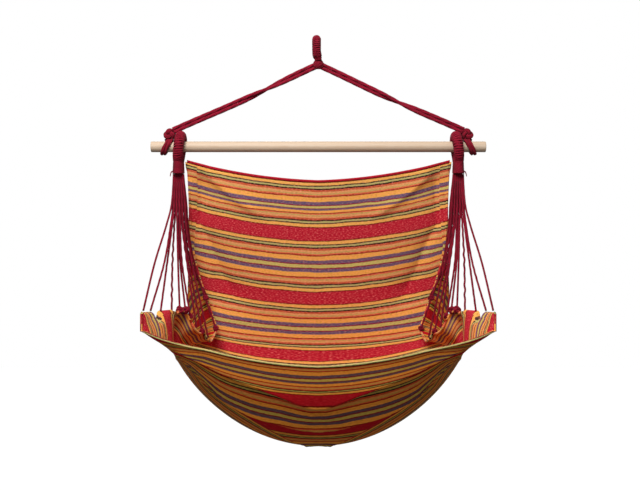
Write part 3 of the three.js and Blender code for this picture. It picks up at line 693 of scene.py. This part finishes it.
def bare_sheet(across, down):
    """Points of the sheet without its folds."""
    width = np.abs(across)
    centre_back, centre_down, edge_out, edge_back, edge_down, roundness, *belly_mm = stations_at(down)
    centre_y = centre_back * CLOTH_DEPTH
    centre_z = CLOTH_TOP_Z - centre_down * CLOTH_HEIGHT
    edge_x = CLOTH_TOP_HALF + edge_out * CLOTH_FLARE
    edge_y = edge_back * CLOTH_DEPTH
    edge_z = CLOTH_TOP_Z - edge_down * CLOTH_HEIGHT
    belly_x, belly_y, belly_z = (edge + mm / 1000 for edge, mm in zip((edge_x, edge_y, edge_z), belly_mm))
    turn_start = 1 - TURN_IN * np.clip(np.hypot(belly_mm[0], belly_mm[2]) / FULL_BELLY, 0, 1)
    inner = np.minimum(width / turn_start, 1)
    quarter = math.pi / 2 * inner
    out = between(inner, np.sin(quarter), roundness)
    flat = between(inner**2, inner, SAG_LINEAR * (1 - roundness))
    rise = between(flat, 1 - np.cos(quarter) ** SAG_CURVE, roundness)
    beyond = np.clip((width - turn_start) / np.maximum(1 - turn_start, 1e-6), 0, 1) * math.pi / 2
    x = belly_x * out + (edge_x - belly_x) * (1 - np.cos(beyond))
    y = between(centre_y, belly_y, inner**2) + (edge_y - belly_y) * np.sin(beyond)
    z = between(centre_z, belly_z, rise) + (edge_z - belly_z) * np.sin(beyond)
    return np.stack((np.sign(across) * x, y, z), axis=-1)


def sheet_normal(across, down):
    step = 1e-3
    sideways = bare_sheet(across + step, down) - bare_sheet(across - step, down)
    lower, upper = np.minimum(down + step, 1), np.maximum(down - step, 0)
    normal = np.cross(sideways, bare_sheet(across, lower) - bare_sheet(across, upper))
    return normal / np.linalg.norm(normal, axis=-1, keepdims=True)


# Three tucks under the seat, the front one first. Each line gives, over shares of the half width,
# where down the sheet the layer above it ends.
tuck_lines = (
    (
        (0, 0.03, 0.06, 0.103, 0.157, 0.23, 0.307, 0.38, 0.46, 0.59, 1),
        (0.903, 0.904, 0.911, 0.92, 0.93, 0.938, 0.943, 0.948, 0.954, 0.964, 0.975),
    ),
    (
        (0, 0.08, 0.13, 0.243, 0.337, 0.387, 0.463, 0.54, 0.62, 1),
        (0.826, 0.83, 0.836, 0.837, 0.843, 0.852, 0.89, 0.93, 0.945, 0.96),
    ),
    (
        (0, 0.05, 0.093, 0.14, 0.19, 0.243, 0.327, 0.393, 0.457, 0.543, 0.62, 1),
        (0.66, 0.742, 0.768, 0.793, 0.812, 0.826, 0.837, 0.841, 0.85, 0.896, 0.92, 0.94),
    ),
)
TUCK_HEIGHTS = (0.007, 0.007, 0.005)
TUCK_STEP = 0.0025  # share of the length in which a layer's end rises
TUCK_FADE = 0.028  # and in which it fades again
# two creases on each half of the back: widths and places down the sheet along the first, and places
# down the sheet and widths along the second
top_crease = ((0.3, 0.44, 0.55, 0.71, 0.86), (0.095, 0.08, 0.068, 0.042, 0.016))
side_crease = ((0.128, 0.156, 0.2, 0.227, 0.255, 0.3), (0.9, 0.82, 0.73, 0.66, 0.56, 0.48))
TOP_CREASE_HEIGHT = 0.009
TOP_CREASE_FADE = (0.03, 0.008)  # shares of the length above and below it in which it fades
SIDE_CREASE_DEPTH = 0.016
SIDE_CREASE_FADE = 0.09  # share of the half width towards the middle
SIDE_CREASE_BOW = 1.2
GATHER_FROM = 0.42  # down the sheet, where its edges start to wave
GATHER_WAVES = 4
GATHER_HEIGHT = 0.009
SCALLOP_DEPTH = 0.028  # sag of the edge between the second and third cord
LIP_DROP = 0.014  # sag of the front lip beside its corners


def beyond_tucks(across, down):
    """How far down the sheet each place lies past the three tuck lines, as shares of its length."""
    return [down - np.interp(np.abs(across), widths, places) for widths, places in tuck_lines]


def fold_height(across, down):
    """How far the gathers, the creases and the tucks stand out from the bare sheet."""
    width = np.abs(across)
    seat = eased(GATHER_FROM, 0.55, down) * (1 - eased(0.78, 0.82, down))
    wave = np.sin(2 * math.pi * GATHER_WAVES * (down - GATHER_FROM) / (1 - GATHER_FROM))
    height = GATHER_HEIGHT * eased(0.5, 0.95, width) * seat * wave
    past = down - np.interp(width, *top_crease)
    ridge = np.where(past < 0, np.exp(past / TOP_CREASE_FADE[0]), np.exp(-past / TOP_CREASE_FADE[1]))
    height -= TOP_CREASE_HEIGHT * ridge * eased(0.35, 0.5, width) * (1 - eased(0.8, 0.9, width))
    crease_width = np.interp(down, *side_crease)
    outer = (width - crease_width) / (1 - crease_width)
    slope = np.exp((width - crease_width) / SIDE_CREASE_FADE)
    valley = np.where(outer > 0, (1 - outer) * np.exp(-outer * SIDE_CREASE_BOW), slope)
    height += SIDE_CREASE_DEPTH * valley * eased(0, 0.05, down) * (1 - eased(0.25, 0.32, down))
    for past, depth in zip(beyond_tucks(across, down), TUCK_HEIGHTS):
        lip = np.where(past > 0, np.exp(-past / TUCK_FADE), np.exp(past / TUCK_STEP))
        height += depth * lip * (1 - eased(0.55, 0.75, width))
    return height


def edge_droop(across, down):
    width = np.abs(across)
    scallop = eased(0.886, 0.9, down) * (1 - eased(0.91, 0.936, down)) * eased(0.82, 0.97, width)
    lip = eased(0.88, 1, down) * eased(0.5, 0.8, width) * (1 - eased(0.9, 0.99, width))
    return SCALLOP_DEPTH * scallop + LIP_DROP * lip


def cloth_points(across, down):
    points = bare_sheet(across, down) + sheet_normal(across, down) * fold_height(across, down)[..., None]
    points[..., 2] -= edge_droop(across, down)
    return points


# The stripes run across the sheet. Each table gives, over shares down the sheet, how many mm of cloth
# lie above that place: in the middle of the back and seat, at the side edge as the face that is sat on
# and the underside show it, in the middle of the face that is sat on, and in the front layer.
middle_run = ((0, 0.054, 0.068, 0.393, 0.736, 0.833, 1), (-18, 57, 95.8, 555, 849, 972, 1185))
edge_run = (
    (0, 0.054, 0.068, 0.24, 0.355, 0.42, 0.57, 0.76, 0.8, 0.838, 0.885, 0.964, 0.985, 1, 1.05),
    (-18, 57, 95.8, 335, 522, 558, 956, 1098, 1114, 1137, 1173, 1262, 1318, 1350, 1372),
)
under_edge_run = (
    (0, 0.054, 0.068, 0.393, 0.885, 0.964, 0.985, 1, 1.05),
    (-18, 57, 95.8, 555, 1173, 1262, 1318, 1350, 1372),
)
seat_run = ((0, 0.054, 0.068, 0.393, 1), (-18, 57, 95.8, 555, 1318))
front_run = (
    (0, 0.85, 0.905, 0.916, 0.938, 0.946, 0.958, 0.971, 0.99, 1),
    (0, 1059, 1129, 1138, 1173, 1191, 1222, 1254, 1287, 1318),
)
second_run = ((1007, 80), (1105, 100))  # at the layer's upper and lower end: mm, and mm more at the edge
FOURTH_RUN = 948  # mm at the fourth layer's upper end
EDGE_SLANT = 125  # mm more at the edge than the tables give, half-way down
GATHERED_AT = (411, -850)  # mm outwards and up of a place in the seat's gathered corner
GATHERED_RUN = 1001  # mm of cloth above it
GATHERED_SLOPE = (-2, 0.8)  # mm of cloth to a mm outwards and up


def cloth_runs(across, down):
    """Flat distance down the cloth, in metres, for the front layer, the three layers tucked behind it, and
    the face that is sat on."""
    width = np.abs(across)
    past = beyond_tucks(across, down)
    share = past[1] / np.maximum(past[1] - past[0], 1e-4)
    upper, lower = (run + more * width for run, more in second_run)
    middle = np.interp(down, *middle_run)
    fourth = between(middle, FOURTH_RUN + past[2] * 1000, eased(0.6, 0.7, down))
    edge_place = down + 0.15 * (1 - width) * eased(0.88, 0.95, down)
    slant = eased(0.74, 1.05, width) * eased(0.15, 0.42, down) * (1 - eased(0.5, 0.6, down))
    edge = np.interp(edge_place, *edge_run) + EDGE_SLANT * slant
    under_edge = np.interp(edge_place, *under_edge_run) + EDGE_SLANT * slant
    side = eased(0.5, between(1, 0.9, eased(0.78, 0.84, down)), width)
    layers = (np.interp(down, *front_run), between(upper, lower, share), middle, fourth)
    runs = [between(layer, under_edge, side) for layer in layers]
    # the cords gather the seat's corner, so its stripes run steeply down from them
    place = bare_sheet(across, down) * 1000
    outwards = np.abs(place[..., 0]) - GATHERED_AT[0]
    upwards = place[..., 2] - GATHERED_AT[1]
    gathered = GATHERED_RUN + GATHERED_SLOPE[0] * outwards + GATHERED_SLOPE[1] * upwards
    corner = eased(0.66, 0.8, width) * eased(0.47, 0.57, down) * (1 - eased(0.74, 0.8, down))
    runs.append(between(between(np.interp(down, *seat_run), edge, side), gathered, corner))
    return [run / 1000 for run in runs], past


CLOTH_COLUMNS = 150
CLOTH_ROWS = 300
CLOTH_HALF_WIDTH = 0.525
COARSE_ROWS = 0.4  # share of the rows that are three half times as far apart, in the back
cloth_mesh = bmesh.new()
bmesh.ops.create_grid(cloth_mesh, x_segments=CLOTH_COLUMNS, y_segments=CLOTH_ROWS, size=1)
even = np.array([(1 - vert.co.y) / 2 for vert in cloth_mesh.verts])
across = np.array([vert.co.x for vert in cloth_mesh.verts])
down = np.where(even < COARSE_ROWS, even * 1.5, 1.5 * COARSE_ROWS + (even - COARSE_ROWS) / 1.5)
for vert, place in zip(cloth_mesh.verts, cloth_points(across, down)):
    vert.co = place
for face in cloth_mesh.faces:
    face.smooth = True
cloth = place_mesh("striped_sheet", cloth_mesh)
mesh = cloth.data
corners = np.empty(len(mesh.loops), dtype=int)
mesh.loops.foreach_get("vertex_index", corners)
runs, past = cloth_runs(across, down)
for map_name, u, v in (
    ("cloth", across * CLOTH_HALF_WIDTH, runs[0]),
    ("second_layer", runs[1], past[0]),
    ("third_layer", runs[2], past[1]),
    ("fourth_layer", runs[3], past[2]),
    ("seat_face", across * CLOTH_HALF_WIDTH, runs[4]),
):
    layer = mesh.uv_layers.new(name=map_name)
    layer.data.foreach_set("uv", np.stack((u, v), axis=-1)[corners].ravel())
wall = cloth.modifiers.new("thickness", "SOLIDIFY")
wall.thickness = CLOTH_THICKNESS
wall.offset = 0
wall.material_offset = 1

# widths of the stripes in mm, from the middle of a crimson band to the middle of the repeat, after
# which they come back in the opposite order
STRIPE_START = 0.160
STRIPE_HALF = 0.0995
HEM_STRIP = 0.038  # along each side edge, where the cloth is double and its stripes are off a little
THREAD_PITCH = 0.0016
UNDERSIDE_PAINTED_SHADE = (0.8, 0.6, 0.37)  # painted shade on the cloth's reverse, which lies in shade under the seat: what is left of each colour
stripe_run = (
    (17.5, dye(194, 26, 48)),
    (3.4, dye(128, 22, 18)),
    (8.4, dye(247, 178, 86)),
    (3.4, dye(60, 44, 36)),
    (4.6, dye(188, 180, 108)),
    (4.2, dye(34, 20, 8)),
    (5.4, dye(210, 90, 56)),
    (5.4, dye(228, 162, 98)),
    (4.0, dye(208, 168, 92)),
    (3.6, dye(224, 108, 68)),
    (3.6, dye(156, 30, 16)),
    (13.0, dye(248, 172, 78)),
    (9.2, dye(104, 84, 112)),
    (3.8, dye(140, 32, 56)),
    (5.0, dye(205, 190, 102)),
)
stripe_sum = sum(width for width, _ in stripe_run)


def striped_finish(name, map_name, layered=False, depth=(1, 1, 1)):
    """Striped cotton on a flat map of the sheet. If layered, the layer in sight gives the stripes. Depth
    scales each colour down as painted shade.
    """
    finish, tree, shader = start_finish(name, 0.9)
    uv = node(tree, "ShaderNodeUVMap", uv_map=map_name)
    sideways, lengthways, _ = node(tree, "ShaderNodeSeparateXYZ", {0: uv.outputs[0]}).outputs
    if layered:
        layers = []
        for layer in ("second_layer", "third_layer", "fourth_layer"):
            uv = node(tree, "ShaderNodeUVMap", uv_map=layer)
            layers.append(node(tree, "ShaderNodeSeparateXYZ", {0: uv.outputs[0]}).outputs)
        second, third, fourth = layers
        shown = fourth[0]
        for upper, past in ((third[0], fourth[1]), (second[0], third[1]), (lengthways, second[1])):
            above = reckon(tree, "GREATER_THAN", past, 0.0)
            shown = node(tree, "ShaderNodeMix", {0: above, 2: shown, 3: upper}).outputs[0]
        lengthways = shown
    flat = node(tree, "ShaderNodeCombineXYZ", {0: sideways, 1: lengthways, 2: 0.0}).outputs[0]
    waver = noise(tree, stretch(tree, flat, (12, 25, 1)), detail=2.0)
    threads = noise(tree, stretch(tree, flat, (110, 1300, 1)))
    flecks = noise(tree, stretch(tree, flat, (120, 480, 1)), detail=2.0)
    hem_strip = reckon(tree, "ABSOLUTE", sideways)
    hem_strip = reckon(tree, "GREATER_THAN", hem_strip, CLOTH_HALF_WIDTH - HEM_STRIP)
    shift = reckon(tree, "MULTIPLY_ADD", waver, 0.006, -0.003)
    shift = reckon(tree, "ADD", shift, reckon(tree, "MULTIPLY_ADD", threads, 0.003, -0.0015))
    shift = reckon(tree, "ADD", shift, reckon(tree, "MULTIPLY", hem_strip, 0.004))
    stripe_place = reckon(tree, "ADD", reckon(tree, "SUBTRACT", lengthways, STRIPE_START), shift)
    stripe_place = reckon(tree, "DIVIDE", reckon(tree, "PINGPONG", stripe_place, STRIPE_HALF), STRIPE_HALF)
    stripes = node(tree, "ShaderNodeValToRGB", {0: stripe_place})
    stripes.color_ramp.interpolation = "CONSTANT"
    elements = stripes.color_ramp.elements
    position = 0.0
    for i, (width, colour) in enumerate(stripe_run):
        element = elements[i] if i < 2 else elements.new(position / stripe_sum)
        element.position = position / stripe_sum
        element.color = colour
        position += width
    tone = reckon(tree, "MULTIPLY_ADD", threads, 0.5, 0.75)
    tone = reckon(tree, "MULTIPLY", tone, reckon(tree, "MULTIPLY_ADD", flecks, 1.1, 0.45))
    # painted shade: each colour channel is scaled by what depth leaves of it
    grey = {i: reckon(tree, "MULTIPLY", tone, left) for i, left in enumerate(depth)}
    grey = node(tree, "ShaderNodeCombineColor", grey).outputs[0]
    toned = {0: 1.0, 6: stripes.outputs[0], 7: grey}
    toned = node(tree, "ShaderNodeMix", toned, data_type="RGBA", blend_type="MULTIPLY").outputs[2]
    pale_threads = reckon(tree, "MAXIMUM", reckon(tree, "MULTIPLY_ADD", flecks, 3.0, -1.56), 0.0)
    # the reverse keeps a tenth of the pale flecks, which darkens it further as painted shade
    if layered:
        pale_threads = reckon(tree, "MULTIPLY", pale_threads, 0.1)
    flecked = {0: pale_threads, 6: toned, 7: dye(236, 138, 128)}
    flecked = node(tree, "ShaderNodeMix", flecked, data_type="RGBA").outputs[2]
    tree.links.new(flecked, shader.inputs["Base Color"])
    warp = reckon(tree, "SINE", reckon(tree, "MULTIPLY", sideways, 2 * math.pi / THREAD_PITCH))
    weft = reckon(tree, "SINE", reckon(tree, "MULTIPLY", lengthways, 2 * math.pi / THREAD_PITCH))
    weave = reckon(tree, "MULTIPLY_ADD", reckon(tree, "MULTIPLY", warp, weft), 0.5, threads)
    add_bump(tree, shader, 0.5, 0.0008, weave)
    shader.inputs["Specular IOR Level"].default_value = 0.05 if layered else 0.15
    return finish


mesh.materials.append(striped_finish("striped_seat_face", "seat_face"))
# the reverse of the sheet, darkened by painted shade
mesh.materials.append(striped_finish("striped_underside", "cloth", layered=True, depth=UNDERSIDE_PAINTED_SHADE))
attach(cloth, "sling")
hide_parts("seat_cloth")

# Hems: the sheet's four edges are rolled and sewn. The top one is bound in plain crimson cotton.
HEM_RADIUS = 0.0034
TOP_HEM_RADIUS = 0.0042
HEM_SIDES = 14
HEM_SEAT = 0.75  # share of its radius by which a hem's middle lies outside the sheet's edge
HEM_TURN = 0.0045  # cloth that the top and front hems turn over
striped_hem = striped_finish("striped_hem", "cloth")
hem_finish = plain_finish("top_hem_cotton", (176, 22, 40), (128, 12, 26))


def roll_hem(name, across, down, outward_across, outward_down, radius, finish):
    """A rolled edge along a line of the sheet, on the sheet's own map so that the stripes run round it."""
    edge = cloth_points(across, down)
    inside = cloth_points(across - outward_across * 1e-3, down - outward_down * 1e-3)
    outward = edge - inside
    outward /= np.linalg.norm(outward, axis=-1, keepdims=True)
    normal = sheet_normal(across, down)
    middle = edge + outward * radius * HEM_SEAT
    runs = cloth_runs(across, down)[0][4] if outward_across else np.interp(down, *front_run) / 1000
    runs = runs - HEM_TURN * outward_down
    maker = bmesh.new()
    uv_layer = maker.loops.layers.uv.new("cloth")
    rings = []
    for k in range(HEM_SIDES):
        turn = 2 * math.pi * k / HEM_SIDES
        points = middle + outward * radius * math.cos(turn) + normal * radius * math.sin(turn)
        rings.append([maker.verts.new(point) for point in points])
    for k in range(HEM_SIDES):
        after = (k + 1) % HEM_SIDES
        for i in range(len(across) - 1):
            face = maker.faces.new((rings[k][i], rings[k][i + 1], rings[after][i + 1], rings[after][i]))
            face.smooth = True
            for loop, (row, at) in zip(face.loops, ((k, i), (k, i + 1), (k + 1, i + 1), (k + 1, i))):
                around = radius * 2 * math.pi * row / HEM_SIDES
                u = across[at] * CLOTH_HALF_WIDTH + outward_across * around
                loop[uv_layer].uv = (u, runs[at] + outward_down * around)
    maker.faces.new([rings[k][0] for k in range(HEM_SIDES)])
    maker.faces.new([rings[k][-1] for k in reversed(range(HEM_SIDES))])
    bmesh.ops.recalc_face_normals(maker, faces=maker.faces)
    hem = place_mesh(name, maker, finish)
    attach(hem, "sling")
    return hem


side_steps = np.linspace(0, 1, 261)
side_edge = np.ones_like(side_steps)
end_steps = np.linspace(-1, 1, 241)
end_edge = np.ones_like(end_steps)
top_hem = roll_hem("hem_top", end_steps, 0 * end_edge, 0, -1, TOP_HEM_RADIUS, hem_finish)
front_hem = roll_hem("hem_front", end_steps, end_edge, 0, 1, HEM_RADIUS, striped_hem)
left_hem = roll_hem("hem_left", -side_edge, side_steps, -1, 0, HEM_RADIUS, striped_hem)
right_hem = roll_hem("hem_right", side_edge, side_steps, 1, 0, HEM_RADIUS, striped_hem)
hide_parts("top_hem")
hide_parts("front_hem")
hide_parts("side_hem_left")
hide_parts("side_hem_right")

# Room: a plain pale floor under the hanging chair, white to the camera as the air behind it is, with
# a little light from all round and soft lamps in front and above.
FLOOR_Z = -1.7
FLOOR_HALF = 8
FLOOR_GLOW = 0.88  # to the camera alone
AIR_LIGHT = 0.24
room_finish, tree, shader = start_finish("pale_room", 0.9)
rays = node(tree, "ShaderNodeLightPath")
shader.inputs["Base Color"].default_value = dye(130, 130, 130)
shader.inputs["Emission Color"].default_value = (1, 1, 1, 1)
glow = reckon(tree, "MULTIPLY", rays.outputs["Is Camera Ray"], FLOOR_GLOW)
tree.links.new(glow, shader.inputs["Emission Strength"])
room = bmesh.new()
floor_place = Matrix.Translation((0, -2, FLOOR_Z))
bmesh.ops.create_grid(room, x_segments=1, y_segments=1, size=FLOOR_HALF, matrix=floor_place)
floor = place_mesh("floor", room, room_finish)

world = bpy.data.worlds.new("room_light")
bpy.context.scene.world = world
world.use_nodes = True
tree = world.node_tree
tree.nodes.clear()
rays = node(tree, "ShaderNodeLightPath")
seen = reckon(tree, "MAXIMUM", rays.outputs["Is Camera Ray"], rays.outputs["Is Glossy Ray"])
seen = reckon(tree, "MAXIMUM", seen, rays.outputs["Is Transmission Ray"])
strength = reckon(tree, "MULTIPLY_ADD", seen, 1 - AIR_LIGHT, AIR_LIGHT)
air = node(tree, "ShaderNodeBackground", {0: (1, 1, 1, 1), 1: strength})
node(tree, "ShaderNodeOutputWorld", {0: air.outputs[0]})

lamps = (
    # place, what it points at, size, power
    ("front_lamp", (-0.7, -2.5, 1.7), (0, 0, -0.7), 1.6, 158),
    ("top_lamp", (0.6, -0.5, 2.0), (0, 0.1, -0.6), 1.6, 6),
)
for name, place, aim, size, power in lamps:
    lamp_data = bpy.data.lights.new(name, "AREA")
    lamp_data.size = size
    lamp_data.energy = power
    lamp = bpy.data.objects.new(name, lamp_data)
    lamp.location = place
    lamp.rotation_euler = (Vector(aim) - Vector(place)).to_track_quat("-Z", "Y").to_euler()
    bpy.context.collection.objects.link(lamp)

bpy.context.scene.view_settings.view_transform = "Standard"
